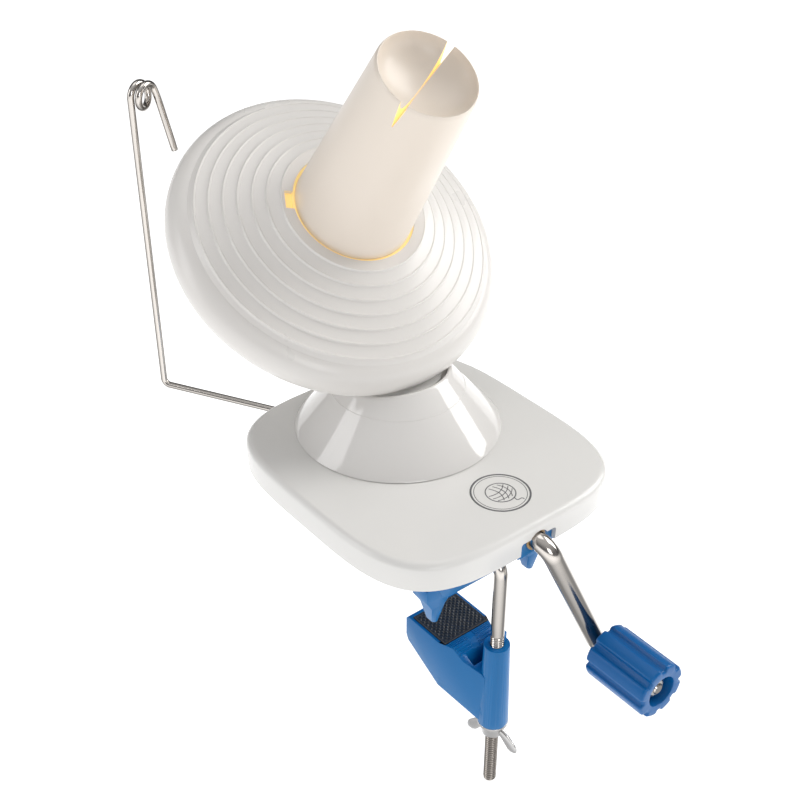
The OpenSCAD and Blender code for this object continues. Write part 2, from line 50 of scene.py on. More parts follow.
TUBE_FOOT_R, TUBE_MOUTH_R, TUBE_UP, TUBE_DOWN = 25.0, 20.1, 31.5, 50.4
GROOVE_TURN, LUG_TURN = 29.0, -25.0
RING_R0, RING_WIDTH, RING_DROP, RING_STEP, RINGS = 31.2, 5.4, 2.3, 0.9, 7
DISC_R, ROLL_A, ROLL_B, ROLL_S = 72.3, 8.7, 10.0, 66.5
TUBE_WALL, TUBE_FOOT = 2.4, -56.6
AXIS_Z, ROD_R, PIN_R = 48.0, 4.0, 2.5
ARM_Y, ARM_L, ARM_ANGLE, ARM_BEND, BEND_A, BEND_B = 93.6, 64.0, 23.0, 82.0, 7.5, 5.0
KNOB_L, KNOB_R, KNOB_CORE, KNOB_LOBES = 31.0, 12.4, 10.7, 8
PIVOT_X, PIVOT_Y, PIVOT_Z, GUIDE_ANGLE, SLOT_REACH = -13.7, 30.8, 45.7, 118.9, 90.0
WIRE_R, GUIDE_REACH, GUIDE_RISE, COIL_R, COIL_PITCH = 1.5, 86.2, 138.3, 5.0, 3.8
CLAMP_Y, CLAMP_R, ROD_END, LEG_Z, ROD_BEND = 68.5, 3.0, -107.0, 24.0, 8.0
JAW_TOP = -31.0
THREAD_PITCH, THREAD_TOP = 1.25, -16.0
PAD_HALF_X, PAD_NEAR, PAD_FAR, PAD_TOP, PAD_PITCH = 12.6, -49.1, -26.9, -29.0, 2.5
NUT_TOP, NUT_TURN = -69.35, 102.0

# scales of the surface effects, and how much of the moulded skin is grain
TONE_SCALE, MARK_SCALE, WAVINESS, GRAIN_SHARE = 9.0, 25.0, 30.0, 0.4


def shift(x, y, z):
    return Matrix.Translation((x, y, z))


def turn(axis, degrees):
    return Matrix.Rotation(math.radians(degrees), 4, axis)


def sin(degrees):
    return math.sin(math.radians(degrees))


def cos(degrees):
    return math.cos(math.radians(degrees))


SPINDLE = shift(0, 0, CROSSING) @ turn("X", LEAN)
CRANK = shift(0, 0, AXIS_Z) @ turn("X", 90)
GUIDE = shift(PIVOT_X, PIVOT_Y, PIVOT_Z) @ turn("Z", GUIDE_ANGLE)
CLAMP = shift(0, -CLAMP_Y, 0)

# ---------------------------------------------------------------- node groups shared by the finishes


def new_group(name, inputs, outputs):
    group = bpy.data.node_groups.new(name, "ShaderNodeTree")
    for socket, kind, value in inputs:
        made = group.interface.new_socket(socket, in_out="INPUT", socket_type=kind)
        if value is not None:
            made.default_value = value
    for socket, kind in outputs:
        group.interface.new_socket(socket, in_out="OUTPUT", socket_type=kind)
    enter = group.nodes.new("NodeGroupInput")
    leave = group.nodes.new("NodeGroupOutput")
    return group, enter, leave


def noise_node(group, enter, scale, detail):
    noise = group.nodes.new("ShaderNodeTexNoise")
    noise.inputs["Detail"].default_value = detail
    group.links.new(enter.outputs["Vector"], noise.inputs["Vector"])
    group.links.new(enter.outputs[scale], noise.inputs["Scale"])
    return noise


def make_tone_drift():
    group, enter, leave = new_group(
        "tone_drift",
        [("Vector", "NodeSocketVector", None), ("Scale", "NodeSocketFloat", 12.0),
         ("Tone", "NodeSocketColor", (1, 1, 1, 1)), ("Second Tone", "NodeSocketColor", (1, 1, 1, 1))],
        [("Color", "NodeSocketColor")])
    noise = noise_node(group, enter, "Scale", 1.0)
    spread = group.nodes.new("ShaderNodeMapRange")
    spread.inputs["From Min"].default_value = 0.2
    spread.inputs["From Max"].default_value = 0.8
    mix = group.nodes.new("ShaderNodeMix")
    mix.data_type = "RGBA"
    group.links.new(noise.outputs["Fac"], spread.inputs["Value"])
    group.links.new(spread.outputs["Result"], mix.inputs[0])
    group.links.new(enter.outputs["Tone"], mix.inputs[6])
    group.links.new(enter.outputs["Second Tone"], mix.inputs[7])
    group.links.new(mix.outputs[2], leave.inputs["Color"])
    return group


def make_handling_marks():
    group, enter, leave = new_group(
        "handling_marks",
        [("Vector", "NodeSocketVector", None), ("Scale", "NodeSocketFloat", 40.0),
         ("Clean", "NodeSocketFloat", 0.25), ("Rubbed", "NodeSocketFloat", 0.35)],
        [("Roughness", "NodeSocketFloat")])
    noise = noise_node(group, enter, "Scale", 5.0)
    spread = group.nodes.new("ShaderNodeMapRange")
    spread.inputs["From Min"].default_value = 0.3
    spread.inputs["From Max"].default_value = 0.7
    group.links.new(noise.outputs["Fac"], spread.inputs["Value"])
    group.links.new(enter.outputs["Clean"], spread.inputs["To Min"])
    group.links.new(enter.outputs["Rubbed"], spread.inputs["To Max"])
    group.links.new(spread.outputs["Result"], leave.inputs["Roughness"])
    return group


def make_moulded_skin():
    group, enter, leave = new_group(
        "moulded_skin",
        [("Vector", "NodeSocketVector", None), ("Grain", "NodeSocketFloat", 900.0),
         ("Waviness", "NodeSocketFloat", 30.0), ("Grain Share", "NodeSocketFloat", 0.4)],
        [("Height", "NodeSocketFloat")])
    grain = noise_node(group, enter, "Grain", 2.0)
    wave = noise_node(group, enter, "Waviness", 1.0)
    mix = group.nodes.new("ShaderNodeMix")
    group.links.new(enter.outputs["Grain Share"], mix.inputs[0])
    group.links.new(wave.outputs["Fac"], mix.inputs[2])
    group.links.new(grain.outputs["Fac"], mix.inputs[3])
    group.links.new(mix.outputs[0], leave.inputs["Height"])
    return group


TONE_DRIFT = make_tone_drift()
HANDLING_MARKS = make_handling_marks()
MOULDED_SKIN = make_moulded_skin()


def finish(name, tone, second, clean, rubbed, metallic=0.0, grain=900.0, bump=0.02, coat=0.0,
           painted_glow=None, specular=0.5, painted_reflection_bands=()):
    """A finish with a drifting tone, uneven gloss and a faint moulded or drawn surface.

    The painted reflection bands darken or lighten a bright metal's base colour by how far its surface
    turns from the eye: painted reflections standing in for light and shade from the surroundings.
    """
    material = bpy.data.materials.new(name)
    material.use_nodes = True
    tree = material.node_tree
    shader = tree.nodes["Principled BSDF"]
    place = tree.nodes.new("ShaderNodeTexCoord")

    def effect(group, **values):
        node = tree.nodes.new("ShaderNodeGroup")
        node.node_tree = group
        tree.links.new(place.outputs["Object"], node.inputs["Vector"])
        for socket, value in values.items():
            node.inputs[socket.replace("_", " ")].default_value = value
        return node

    drift = effect(TONE_DRIFT, Scale=TONE_SCALE, Tone=(*tone, 1), Second_Tone=(*second, 1))
    marks = effect(HANDLING_MARKS, Scale=MARK_SCALE, Clean=clean, Rubbed=rubbed)
    skin = effect(MOULDED_SKIN, Grain=grain, Waviness=WAVINESS, Grain_Share=GRAIN_SHARE)
    dent = tree.nodes.new("ShaderNodeBump")
    dent.inputs["Strength"].default_value = bump
    dent.inputs["Distance"].default_value = 0.001
    tree.links.new(drift.outputs["Color"], shader.inputs["Base Color"])
    tree.links.new(marks.outputs["Roughness"], shader.inputs["Roughness"])
    tree.links.new(skin.outputs["Height"], dent.inputs["Height"])
    tree.links.new(dent.outputs["Normal"], shader.inputs["Normal"])
    shader.inputs["Metallic"].default_value = metallic
    shader.inputs["Coat Weight"].default_value = coat
    shader.inputs["Coat Roughness"].default_value = 0.08
    shader.inputs["Specular IOR Level"].default_value = specular
    # painted reflections: light and dark bands by facing angle, multiplied into the base colour
    if painted_reflection_bands:
        facing = tree.nodes.new("ShaderNodeLayerWeight")
        facing.inputs["Blend"].default_value = 0.5
        ramp = tree.nodes.new("ShaderNodeValToRGB")
        while len(ramp.color_ramp.elements) < len(painted_reflection_bands):
            ramp.color_ramp.elements.new(0.5)
        for stop, (position, level) in zip(ramp.color_ramp.elements, painted_reflection_bands):
            stop.position = position
            stop.color = (level, level * 0.97, level * 0.94, 1)
        painted_reflection_mix = tree.nodes.new("ShaderNodeMix")
        painted_reflection_mix.data_type = "RGBA"
        painted_reflection_mix.blend_type = "MULTIPLY"
        painted_reflection_mix.inputs[0].default_value = 1.0
        tree.links.new(facing.outputs["Facing"], ramp.inputs["Fac"])
        tree.links.new(drift.outputs["Color"], painted_reflection_mix.inputs[6])
        tree.links.new(ramp.outputs["Color"], painted_reflection_mix.inputs[7])
        tree.links.new(painted_reflection_mix.outputs[2], shader.inputs["Base Color"])
    # painted glow: emission standing in for light passing through the plastic
    if painted_glow:
        shader.inputs["Emission Color"].default_value = (*painted_glow[:3], 1)
        shader.inputs["Emission Strength"].default_value = painted_glow[3]
    return material


WHITE_COVER = finish("white_cover", (0.82, 0.81, 0.79), (0.80, 0.79, 0.765), 0.20, 0.27, coat=0.15)
CONE_GLOSS = finish("cone_gloss", (0.84, 0.82, 0.795), (0.82, 0.80, 0.775), 0.06, 0.10, coat=0.6,
                    bump=0.008)
DISC_WHITE = finish("disc_white", (0.80, 0.775, 0.745), (0.79, 0.765, 0.735), 0.27, 0.29, coat=0.08)
WHITE_INNER = finish("white_inner", (0.76, 0.75, 0.73), (0.73, 0.72, 0.70), 0.35, 0.45)
IVORY_TUBE = finish("ivory_tube", (0.84, 0.755, 0.665), (0.82, 0.735, 0.64), 0.30, 0.34, coat=0.08,
                    bump=0.006)
# ivory with painted glow for the tube's groove faces, standing in for light passing through the plastic
IVORY_PAINTED_GLOW = finish("ivory_slot_painted_glow", (0.92, 0.72, 0.34), (0.90, 0.70, 0.32), 0.4, 0.5,
                    painted_glow=(0.95, 0.74, 0.36, 0.40))
# amber painted glow for the seat ring and lug floor, standing in for light passing through the plastic
AMBER_PAINTED_GLOW = finish("amber_seat_painted_glow", (0.93, 0.68, 0.26), (0.91, 0.66, 0.24), 0.3, 0.4,
                    painted_glow=(0.95, 0.68, 0.26, 0.45))
BLUE_PLASTIC = finish("blue_plastic", (0.003, 0.165, 0.44), (0.002, 0.15, 0.41), 0.28, 0.36,
                      specular=0.35)
BLUE_KNOB = finish("blue_knob", (0.002, 0.125, 0.38), (0.001, 0.11, 0.35), 0.28, 0.34, specular=0.32)
ACETAL = finish("acetal", (0.74, 0.73, 0.70), (0.70, 0.69, 0.66), 0.35, 0.45)
TAN_BUSH = finish("tan_bush", (0.50, 0.33, 0.16), (0.45, 0.29, 0.13), 0.40, 0.50)
# painted reflection bands for the nickel: light and dark base colour by how far the surface turns from
# the eye
PAINTED_REFLECTION_STREAKS = ((0.0, 0.95), (0.16, 1.0), (0.30, 0.62), (0.44, 0.22), (0.58, 0.16), (0.72, 0.80), (1.0, 1.0))
NICKEL = finish("nickel_plate", (0.76, 0.735, 0.71), (0.72, 0.70, 0.675), 0.12, 0.17, metallic=1.0,
                bump=0.004, grain=2200.0, painted_reflection_bands=PAINTED_REFLECTION_STREAKS)
# zinc and thread steel also carry painted reflection bands in their base colour
ZINC = finish("zinc_plate", (0.78, 0.79, 0.80), (0.72, 0.73, 0.74), 0.22, 0.30, metallic=1.0, bump=0.02,
              painted_reflection_bands=((0.0, 0.95), (0.25, 0.70), (0.45, 0.42), (0.65, 0.50), (0.85, 0.85), (1.0, 0.9)))
THREAD_STEEL = finish("thread_steel", (0.52, 0.49, 0.46), (0.44, 0.41, 0.38), 0.28, 0.38, metallic=1.0,
                      bump=0.02, painted_reflection_bands=((0.0, 0.9), (0.4, 0.75), (0.7, 0.45), (1.0, 0.7)))
# near-black for the bottoms of the thread grooves: painted shade in the recesses
THREAD_ROOT_PAINTED_SHADE = finish("thread_root_painted_shade", (0.16, 0.14, 0.125), (0.12, 0.105, 0.095), 0.45, 0.55, metallic=0.9)
SPRING_STEEL = finish("spring_steel", (0.10, 0.10, 0.11), (0.07, 0.07, 0.08), 0.35, 0.45, metallic=0.8)
RUBBER = finish("black_rubber", (0.024, 0.024, 0.026), (0.017, 0.017, 0.018), 0.38, 0.50, bump=0.05,
                specular=0.7)
PRINT_GREY = finish("print_grey", (0.12, 0.12, 0.125), (0.16, 0.16, 0.165), 0.45, 0.55, bump=0.0)

CAD_FINISHES = {
    ZINC: ("base_screws", "center_post", "sun_screw", "rotor_screws", "spindle_axle",
           "axle_nut", "rod_nut"),
    ACETAL: ("sun_gear", "rotor_pinion", "disc_gear", "crank_gear"),
    TAN_BUSH: ("rotor_bush", "spindle_bush", "crank_bush", "crank_rear_bush"),
    SPRING_STEEL: ("spindle_clip", "crank_clip"),
}
for material, names in CAD_FINISHES.items():
    for name in names:
        nodes[name].data.materials.clear()
        nodes[name].data.materials.append(material)

# ---------------------------------------------------------------- ways of making a shape


def bridge(bm, first, second):
    """Faces between two rings of vertices; a ring of one vertex is a pole."""
    count = max(len(first), len(second))
    if count == 1:
        return
    for i in range(count):
        j = (i + 1) % count
        if len(first) == 1:
            bm.faces.new((first[0], second[j], second[i]))
        elif len(second) == 1:
            bm.faces.new((first[i], first[j], second[0]))
        else:
            bm.faces.new((first[i], first[j], second[j], second[i]))


def loft(rings, loop=False, bm=None):
    """Joins rings of points; the ends are closed with a flat face unless the rings loop."""
    bm = bm or bmesh.new()
    made = [[bm.verts.new(point) for point in ring] for ring in rings]
    for first, second in zip(made, made[1:]):
        bridge(bm, first, second)
    if loop:
        bridge(bm, made[-1], made[0])
    else:
        for end in (made[0], made[-1]):
            if len(end) > 2:
                bm.faces.new(end)
    return bm


def lathe(profile, count=128, loop=False, bm=None):
    rings = []
    for r, z in profile:
        if r < 1e-6:
            rings.append([(0, 0, z)])
        else:
            rings.append([(r * cos(360 * i / count), r * sin(360 * i / count), z) for i in range(count)])
    return loft(rings, loop, bm)


def soften(points, radius, steps=4, loop=False):
    """Rounds the corners of a line of 2-D points."""
    out = []
    count = len(points)
    for i, point in enumerate(points):
        here = Vector(point)
        if not loop and i in (0, count - 1):
            out.append(tuple(here))
            continue
        before = Vector(points[i - 1]) - here
        after = Vector(points[(i + 1) % count]) - here
        if before.length < 1e-6 or after.length < 1e-6:
            continue
        start = here + before.normalized() * min(radius, before.length * 0.45)
        end = here + after.normalized() * min(radius, after.length * 0.45)
        for k in range(steps + 1):
            t = k / steps
            out.append(tuple(start * (1 - t) ** 2 + here * 2 * t * (1 - t) + end * t ** 2))
    return out


def tube(path, radius, count=28, chamfer=0.35, bm=None):
    """A round bar along a path; radius is a number or a function of the point's number and the angle."""
    path = [Vector(p) for p in path]
    full = radius if callable(radius) else (lambda i, angle: radius)
    tangents = []
    for i in range(len(path)):
        ahead = path[min(i + 1, len(path) - 1)] - path[max(i - 1, 0)]
        tangents.append(ahead.normalized())
    side = tangents[0].orthogonal().normalized()
    rings = []
    for i, (point, along) in enumerate(zip(path, tangents)):
        side = (side - along * side.dot(along)).normalized()
        other = along.cross(side)

        def ring(at, inset):
            return [at + (side * cos(360 * k / count) + other * sin(360 * k / count))
                    * (full(i, 360 * k / count) - inset) for k in range(count)]

        if i == 0:
            rings.append(ring(point, chamfer))
            rings.append(ring(point + along * chamfer, 0))
        elif i == len(path) - 1:
            rings.append(ring(point - along * chamfer, 0))
            rings.append(ring(point, chamfer))
        else:
            rings.append(ring(point, 0))
    return loft(rings, bm=bm)


def bent(steps, u=0.0, w=0.0, heading=0.0):
    """Points of a bar bent in one plane: ("go", length) or ("bend", radius, degrees)."""
    points = [(u, w)]
    for step in steps:
        if step[0] == "go":
            pieces = max(1, int(step[1] / 6))
            for _ in range(pieces):
                u += sin(heading) * step[1] / pieces
                w += cos(heading) * step[1] / pieces
                points.append((u, w))
        else:
            _, radius, angle = step
            pieces = max(4, int(abs(angle) / 5))
            for _ in range(pieces):
                chord = 2 * radius * sin(abs(angle) / pieces / 2)
                heading += angle / pieces / 2
                u += sin(heading) * chord
                w += cos(heading) * chord
                heading += angle / pieces / 2
                points.append((u, w))
    return points


def rounded_rectangle(half_x, half_y, radius, steps=5):
    radius = max(0.02, min(radius, half_x, half_y))
    points = []
    for quarter, (sx, sy) in enumerate(((1, 1), (-1, 1), (-1, -1), (1, -1))):
        for k in range(steps + 1):
            angle = 90 * quarter + 90 * k / steps
            points.append((sx * (half_x - radius) + radius * cos(angle),
                           sy * (half_y - radius) + radius * sin(angle)))
    return points


def soft_block(low, high, radius=0.6, corner=None, bm=None):
    """A block with rounded edges all round."""
    mid_x, mid_y = (low[0] + high[0]) / 2, (low[1] + high[1]) / 2
    half_x, half_y = (high[0] - low[0]) / 2, (high[1] - low[1]) / 2
    corner = corner or radius
    rings = []
    for z, way in ((low[2], -1), (high[2], 1)):
        angles = (90, 60, 30, 0) if way < 0 else (0, 30, 60, 90)
        for angle in angles:
            inset = radius * (1 - cos(angle))
            level = z - way * radius * (1 - sin(angle))
            rings.append([(mid_x + x, mid_y + y, level) for x, y in
                          rounded_rectangle(half_x - inset, half_y - inset, corner - inset * 0.9)])
    return loft(rings, bm=bm)


def base_outline(inset, z, count=176):
    ring = []
    for i in range(count):
        c, s = cos(360 * i / count), sin(360 * i / count)
        x = (BASE_HALF_X - inset) * abs(c) ** (2 / BASE_SQUARENESS)
        y = (BASE_HALF_Y - inset) * abs(s) ** (2 / BASE_SQUARENESS)
        ring.append((math.copysign(x, c) + BASE_MID_X, math.copysign(y, s) + BASE_MID_Y, z))
    return ring


def prism(outline, z0, z1, place=Matrix(), bm=None):
    return loft([[place @ Vector((x, y, z0)) for x, y in outline],
                 [place @ Vector((x, y, z1)) for x, y in outline]], bm=bm)


def join(bm, part, place=Matrix()):
    """Adds a finished part to a mesh under construction."""
    part.transform(place)
    mesh = bpy.data.meshes.new("part")
    part.to_mesh(mesh)
    part.free()
    bm.from_mesh(mesh)
    bpy.data.meshes.remove(mesh)


def to_object(name, bm, place=Matrix()):
    bm.transform(Matrix.Scale(MM, 4) @ place)
    bmesh.ops.recalc_face_normals(bm, faces=bm.faces)
    mesh = bpy.data.meshes.new(name)
    bm.to_mesh(mesh)
    bm.free()
    made = bpy.data.objects.new(name, mesh)
    bpy.context.scene.collection.objects.link(made)
    return made


def settle(made):
    """Applies a piece's modifiers to its mesh."""
    view = bpy.context.evaluated_depsgraph_get()
    mesh = bpy.data.meshes.new_from_object(made.evaluated_get(view))
    made.modifiers.clear()
    made.data = mesh
    return made


def cut(made, cutter_bm, place=Matrix()):
    cutter = to_object("cutter", cutter_bm, place)
    step = made.modifiers.new("cut", "BOOLEAN")
    step.operation = "DIFFERENCE"
    step.solver = "EXACT"
    step.object = cutter
    settle(made)
    bpy.data.objects.remove(cutter)
    return made


def soft_edges(made, width, angle=32):
    step = made.modifiers.new("edges", "BEVEL")
    step.width = width * MM
    step.segments = 2
    step.limit_method = "ANGLE"
    step.angle_limit = math.radians(angle)
    step.use_clamp_overlap = True
    settle(made)
    return made


def dress(made, material, body, stands_for=(), sharp=38):
    """Gives a piece its finish and shading, and lets it ride on its body."""
    made.data.materials.clear()
    made.data.materials.append(material)
    made.data.polygons.foreach_set("use_smooth", [True] * len(made.data.polygons))
    made.data.set_sharp_from_angle(angle=math.radians(sharp))
    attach(made, body)
    if stands_for:
        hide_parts(*stands_for)
    return made


def soft_copy(node, name, width, angle=32):
    """A copy of a CAD node with its flat faces whole again and its edges rounded."""
    bm = bmesh.new()
    bm.from_mesh(nodes[node].data)
    bmesh.ops.remove_doubles(bm, verts=bm.verts, dist=0.00002)
    bmesh.ops.dissolve_limit(bm, angle_limit=math.radians(1.5), verts=bm.verts, edges=bm.edges)
    bm.transform(Matrix.Scale(1 / MM, 4))
    return soft_edges(to_object(name, bm), width, angle)


# ---------------------------------------------------------------- base


def make_base_cover():
    outside = [base_outline(0.5, BASE_BOTTOM), base_outline(0.1, BASE_BOTTOM + 0.5), base_outline(0, 50)]
    outside += [base_outline(3 * (1 - cos(t)), BASE_TOP - 3 + 3 * sin(t)) for t in range(0, 91, 10)]
    inside = [base_outline(WALL + 0.5, BASE_BOTTOM), base_outline(WALL, BASE_TOP - WALL)]
    bm = bmesh.new()
    outer = [[bm.verts.new(p) for p in ring] for ring in outside]
    inner = [[bm.verts.new(p) for p in ring] for ring in inside]
    for rings in (outer, inner):
        for first, second in zip(rings, rings[1:]):
            bridge(bm, first, second)
        bm.faces.new(rings[-1])
    bridge(bm, outer[0], inner[0])
    cover = to_object("base_cover", bm)
    cut(cover, prism([(HUB_HOLE_R * cos(a), HUB_HOLE_R * sin(a)) for a in range(0, 360, 5)], 50, 60))
    cut(cover, soft_block((-25.5, -20.5, 50), (25.5, -8.5, 60), 0.4, 2.0))
    cut(cover, soft_block((-9.2, -92, 40), (9.2, -78, 50.5), 1.2))
    cut(cover, prism([(SHAFT_HOLE_R * cos(a), SHAFT_HOLE_R * sin(a)) for a in range(0, 360, 6)], 80, 95),
        CRANK)
    sweep = [(1, -4), (4, -1)] + [(SLOT_REACH * cos(a), SLOT_REACH * sin(a)) for a in range(99, 150, 5)]
    cut(cover, prism(sweep, 43, 47.6), shift(PIVOT_X, PIVOT_Y, 0))
    dress(cover, WHITE_COVER, "base", ("base_housing",), 30)
    return cover


def make_undercarriage():
    under = soft_copy("undercarriage", "undercarriage_shell", 0.7)
    dress(under, BLUE_PLASTIC, "base", ("undercarriage",), 40)


def make_badge():
    """A plain ring round a ball of yarn, printed on the base."""
    low, high = BASE_TOP - 0.03, BASE_TOP + 0.05
    bm = lathe([(11.6, low), (12.4, low), (12.4, high), (11.6, high)], 96, True)
    lathe([(10.6, low), (10.85, low), (10.85, high), (10.6, high)], 96, True, bm)
    lathe([(5.9, low), (6.35, low), (6.35, high), (5.9, high)], 72, True, bm)

    def strand(points, width):
        left, right = [], []
        for i, point in enumerate(points):
            ahead = Vector(points[min(i + 1, len(points) - 1)]) - Vector(points[max(i - 1, 0)])
            side = Vector((-ahead.y, ahead.x)).normalized() * width / 2
            left.append(Vector(point) + side)
            right.append(Vector(point) - side)
        loft([[(a.x, a.y, low), (b.x, b.y, low), (b.x, b.y, high), (a.x, a.y, high)]
              for a, b in zip(left, right)], bm=bm)

    for k in (-1, 0, 1):
        bow = 2.2 * k
        for tilt, reach in ((-38, 5.7), (38, 5.2)):
            points = []
            for i in range(17):
                t = -1 + i / 8
                x = bow + 1.6 * (1 - t * t)
                y = reach * t * math.sqrt(max(0.05, 1 - (bow / 6.6) ** 2)) * 0.94
                points.append((x * cos(tilt) - y * sin(tilt), x * sin(tilt) + y * cos(tilt)))
            strand(points, 0.34)
    strand([(5.2 + 0.495 * i, -3.2 - 0.99 * math.sin(i * 0.7) - 0.2 * i) for i in range(9)], 0.4)
    badge = to_object("base_badge", bm, shift(BADGE_X, BADGE_Y, 0) @ turn("Z", BADGE_TURN))
    dress(badge, PRINT_GREY, "base", (), 30)


make_base_cover()
make_undercarriage()
make_badge()

# ---------------------------------------------------------------- rotor


def make_rotor_cone(count=160):
    """The cone with its tilted rim, rounded over into a lip."""
    slope = CONE_R / CONE_APEX
    inner_r, inner_foot = CONE_R - WALL * 1.25, BASE_TOP
    rings = []
    for i in range(count):
        azimuth = 360 * i / count
        lean = sin(azimuth) * math.tan(math.radians(RIM_TILT))

        def height(r0, z0):
            k = r0 / CONE_APEX
            return (RIM_HEIGHT - lean * (r0 + k * z0)) / (1 - k * lean)

        def outer(z):
            return CONE_R - slope * (z - CONE_FOOT)

        def inner(z):
            return inner_r - inner_r / CONE_APEX * (z - inner_foot)

        top_out = height(CONE_R, CONE_FOOT)
        top_in = height(inner_r, inner_foot)
        profile = [(CONE_R - 2.2, CONE_FOOT - 0.4), (CONE_R - 0.2, CONE_FOOT - 0.4),
                   (CONE_R, CONE_FOOT - 0.2)]
        profile += [(outer(z), z) for z in
                    [CONE_FOOT + 0.6 + (top_out - CONE_FOOT - 1.8) * k / 12 for k in range(13)]]
        profile += [(outer(top_out), top_out), (inner(top_in), top_in),
                    (inner(top_in - 1.2), top_in - 1.2),
                    (inner(CONE_FOOT + 4), CONE_FOOT + 4), (CONE_R - 4.2, CONE_FOOT + 0.4)]
        tail = profile[-6:]
        profile = profile[:-6] + soften(tail, 1.0, 4)
        rings.append([(r * cos(azimuth), r * sin(azimuth), z) for r, z in profile])
    columns = list(zip(*rings))
    bm = loft([list(ring) for ring in columns], loop=True)
    web = lathe([(7, 74.2), (28.6, 74.2), (28.6, 76.6), (7, 76.6)], 96, True, bm)
    cone = to_object("rotor_cone_shell", web)
    dress(cone, CONE_GLOSS, "rotor", ("rotor_cone",), 34)


def make_rotor_neck():
    neck = soft_copy("rotor_neck", "rotor_arm", 0.8, 28)
    dress(neck, WHITE_INNER, "rotor", ("rotor_neck",), 42)


make_rotor_cone()
make_rotor_neck()

# ---------------------------------------------------------------- spindle


def make_winding_disc():
    steps = [(26.2, -57.0), (26.2, -TUBE_DOWN)]
    for k in range(RINGS):
        r, s = RING_R0 + k * RING_WIDTH, TUBE_DOWN + k * RING_DROP
        steps += [(r - 0.75, -s - 0.02), (r - 0.6, 0.16 - s), (r - 0.05, 0.16 - s),
                  (r + 0.25, -(s + RING_STEP))]
    middle = DISC_R - ROLL_A
    drop = -(ROLL_S + ROLL_B)
    profile = soften(steps + [(middle + ROLL_A * sin(12), drop + ROLL_B * cos(12))], 0.12, 2)[:-1]
    profile += [(middle + ROLL_A * sin(a), drop + ROLL_B * cos(a)) for a in range(12, 119, 4)]
    profile += [(middle + (ROLL_A - WALL) * sin(a), drop + (ROLL_B - WALL) * cos(a))
                for a in range(116, 7, -6)]
    last = TUBE_DOWN + (RINGS - 1) * RING_DROP + RING_STEP + WALL
    profile += [(RING_R0 + (RINGS - 1) * RING_WIDTH, -last),
                (RING_R0, -(TUBE_DOWN + RING_STEP + WALL)), (28.4, -53.0), (28.4, -59.2), (9.0, -59.2),
                (9.0, -57.0)]
    disc = to_object("winding_disc_shell", lathe(profile, 192, True), SPINDLE)
    # recesses beside the tube where its lugs are turned home
    cut(disc, soft_block((-29.5, -4.2, -56.8), (-25.0, 4.2, -48), 0.3), SPINDLE @ turn("Z", LUG_TURN))
    cut(disc, soft_block((25.0, -1.6, -56.8), (28.0, 1.6, -48), 0.3), SPINDLE @ turn("Z", LUG_TURN))
    dress(disc, DISC_WHITE, "spindle", ("winding_disc",), 26)
    ribs = bmesh.new()
    for k in range(16):
        join(ribs, soft_block((28.2, -0.7, -66), (34, 0.7, -55.2), 0.3), turn("Z", 22.5 * k + 11))
    dress(to_object("disc_ribs", ribs, SPINDLE), DISC_WHITE, "spindle", (), 30)
    # a thin ring and lug floor in the gap beside the tube, carrying painted glow
    seat = lathe([(25.12, -52.4), (26.3, -52.4), (26.3, -51.5), (25.12, -51.5)], 96, True)
    join(seat, soft_block((-29.6, -4.3, -53.0), (-25.3, 4.3, -52.3), 0.05), turn("Z", LUG_TURN))
    dress(to_object("tube_seat_painted_glow", seat, SPINDLE), AMBER_PAINTED_GLOW, "spindle", (), 30)


def make_winding_tube():
    wall_in = TUBE_FOOT_R - TUBE_WALL
    profile = soften([(wall_in, TUBE_FOOT), (TUBE_FOOT_R + 0.2, TUBE_FOOT), (TUBE_FOOT_R, -TUBE_DOWN),
                      (TUBE_FOOT_R - 2.4, -10), (TUBE_MOUTH_R, TUBE_UP - 1.4),
                      (TUBE_MOUTH_R - 0.5, TUBE_UP),
                      (TUBE_MOUTH_R - 0.85, TUBE_UP - 0.1)], 0.45, 4)
    profile += [(19.15 * cos(t), TUBE_UP - 0.3 - 10.7 * sin(t)) for t in range(3, 90, 3)]
    profile += [(0, TUBE_UP - 11)]
    under = [(0, TUBE_UP - 14.4), (TUBE_MOUTH_R - 0.8, TUBE_UP - 14.4), (wall_in, -TUBE_DOWN)]
    bm = lathe(profile + under, 144, True)
    shell = to_object("winding_tube_shell", bm, SPINDLE)
    groove = [(-1.7, 1.5), (-1.55, -1), (-0.12, -11.6), (0.12, -11.6), (1.55, -1), (1.7, 1.5)]
    cutter = prism(groove, -30, 30)
    turned = Matrix(((0, 0, 1, 0), (1, 0, 0, 0), (0, 1, 0, TUBE_UP), (0, 0, 0, 1)))
    cut(shell, cutter, SPINDLE @ turn("Z", GROOVE_TURN) @ turned)
    dress(shell, IVORY_TUBE, "spindle", ("winding_tube",), 30)
    # the groove's side faces take the ivory with painted glow, standing in for light passing through the
    # plastic
    shell.data.materials.append(IVORY_PAINTED_GLOW)
    back = (SPINDLE @ turn("Z", GROOVE_TURN)).inverted()
    for face in shell.data.polygons:
        normal = back.to_3x3() @ face.normal
        at = back @ (face.center / MM)
        if abs(normal.y) > 0.9 and abs(at.y) < 2 and at.z > TUBE_UP - 14 and abs(at.x) < 30:
            face.material_index = 1
    hub = lathe([(9.15, TUBE_FOOT), (11.2, TUBE_FOOT), (11.2, -14), (9.15, -14)], 64, True)
    for k in range(6):
        join(hub, soft_block((11, -0.8, -50), (23.1, 0.8, -28), 0.2), turn("Z", 60 * k))
    dress(to_object("tube_hub", hub, SPINDLE), IVORY_TUBE, "spindle", (), 30)


make_winding_disc()
make_winding_tube()

# ---------------------------------------------------------------- crank


